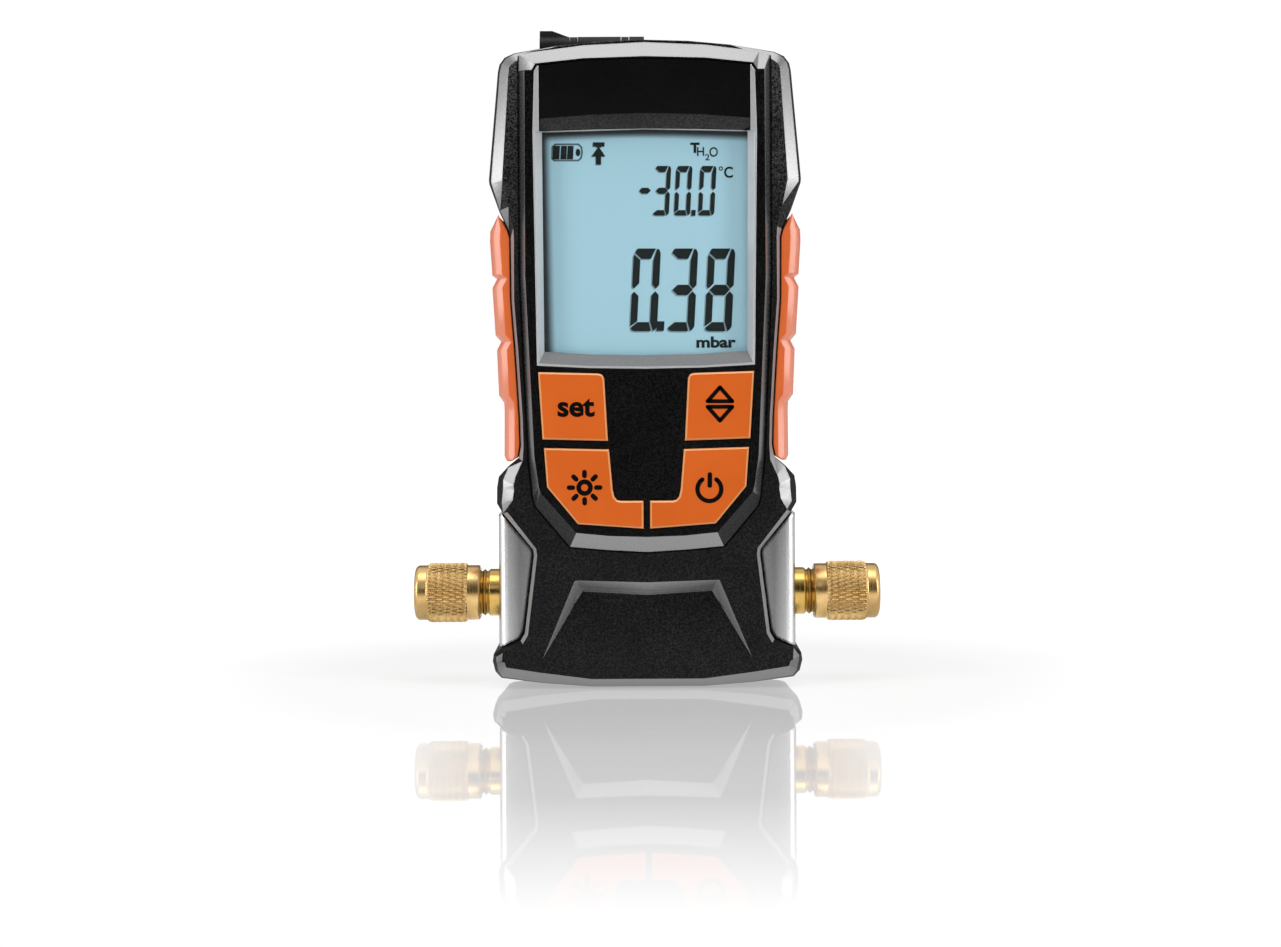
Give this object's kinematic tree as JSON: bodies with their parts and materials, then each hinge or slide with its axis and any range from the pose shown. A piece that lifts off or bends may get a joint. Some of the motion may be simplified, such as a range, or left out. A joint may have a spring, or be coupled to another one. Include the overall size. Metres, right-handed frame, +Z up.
{
  "type": "digital vacuum gauge",
  "caption": "Handheld digital vacuum gauge with display, keys, side grips, flare ports with knurled caps, hanging hook and battery cover.",
  "frame": {"origin": "middle of the face it stands on", "axes": "+Z up, the display faces -Y, the ports point along X"},
  "size_m": [0.1094, 0.035, 0.1554],
  "materials": {
    "black_plastic": "fine spark-eroded texture, satin",
    "face_black": "fine texture, satin",
    "silver_plastic": "silver paint, satin",
    "gloss_black": "smooth, slight gloss",
    "window": "clear",
    "lcd": "pale blue, smooth",
    "light_guide": "milky",
    "elastomer": "striped",
    "key_orange": "satin silicone",
    "silicone": "matt",
    "steel": "plain",
    "board_green": "solder mask",
    "grip_orange": "soft satin",
    "silver_satin": "satin metallic",
    "brass": "turned",
    "seal_rubber": "matt",
    "flex": "polyimide film",
    "dark_grey_plastic": "satin",
    "cell": "printed sleeve, plain"
  },
  "bodies": {
    "housing": {"front_shell": "black_plastic", "rear_shell": "black_plastic", "face_plate": "face_black", "display_frame": "silver_plastic", "label_plate": "gloss_black", "display_lens": "window", "lcd_panel": "lcd", "backlight_panel": "light_guide", "display_connector": "elastomer", "keypad_mat": "silicone", "key_domes": "steel", "main_board": "board_green", "board_screws": "steel", "left_grip": "grip_orange", "right_grip": "grip_orange", "left_side_panel": "silver_satin", "right_side_panel": "silver_satin", "manifold_block": "brass", "vacuum_sensor": "steel", "sensor_seal": "seal_rubber", "sensor_cable": "flex", "left_port": "brass", "right_port": "brass", "port_seals": "seal_rubber", "hook_pin": "steel", "battery_left": "cell", "battery_right": "cell", "battery_springs": "steel", "battery_contacts": "steel", "housing_screws": "steel", "housing_seal": "seal_rubber"},
    "key_set": {"key_set": "key_orange"},
    "key_arrows": {"key_arrows": "key_orange"},
    "key_light": {"key_light": "key_orange"},
    "key_power": {"key_power": "key_orange"},
    "hook": {"hanging_hook": "dark_grey_plastic"},
    "battery_cover": {"battery_cover": "black_plastic"},
    "left_cap_seal": {"left_cap_seal": "seal_rubber"},
    "right_cap_seal": {"right_cap_seal": "seal_rubber"},
    "left_cap": {"left_cap": "brass"},
    "right_cap": {"right_cap": "brass"}
  },
  "joints": [
    {"name": "key_set_press", "type": "slide", "parent": "housing", "child": "key_set", "axis": [0, 1, 0], "range_m": [0, 0.0006], "stiffness_N_per_m": 200},
    {"name": "key_arrows_press", "type": "slide", "parent": "housing", "child": "key_arrows", "axis": [0, 1, 0], "range_m": [0, 0.0006], "stiffness_N_per_m": 200},
    {"name": "key_light_press", "type": "slide", "parent": "housing", "child": "key_light", "axis": [0, 1, 0], "range_m": [0, 0.0006], "stiffness_N_per_m": 200},
    {"name": "key_power_press", "type": "slide", "parent": "housing", "child": "key_power", "axis": [0, 1, 0], "range_m": [0, 0.0006], "stiffness_N_per_m": 200},
    {"name": "hook_swing", "type": "hinge", "parent": "housing", "child": "hook", "pos_m": [-0.0126, 0.0135, 0.1518], "axis": [1, 0, 0], "range_deg": [0, 180]},
    {"name": "battery_cover_open", "type": "hinge", "parent": "housing", "child": "battery_cover", "pos_m": [0, 0.0175, 0.10245], "axis": [1, 0, 0], "range_deg": [0, 70]},
    {"name": "left_cap_off", "type": "slide", "parent": "housing", "child": "left_cap_seal", "axis": [-1, 0, 0], "range_m": [0, 0.00698]},
    {"name": "left_cap_turn", "type": "hinge", "parent": "left_cap_seal", "child": "left_cap", "pos_m": [-0.045, 0, 0.021], "axis": [-1, 0, 0], "range_deg": [0, 1980]},
    {"name": "right_cap_off", "type": "slide", "parent": "housing", "child": "right_cap_seal", "axis": [1, 0, 0], "range_m": [0, 0.00698]},
    {"name": "right_cap_turn", "type": "hinge", "parent": "right_cap_seal", "child": "right_cap", "pos_m": [0.045, 0, 0.021], "axis": [1, 0, 0], "range_deg": [0, 1980]}
  ],
  "couplings": [
    {"joint": "left_cap_turn", "follows": "left_cap_off", "rad_per_m": 4947.4},
    {"joint": "right_cap_turn", "follows": "right_cap_off", "rad_per_m": 4947.4}
  ]
}
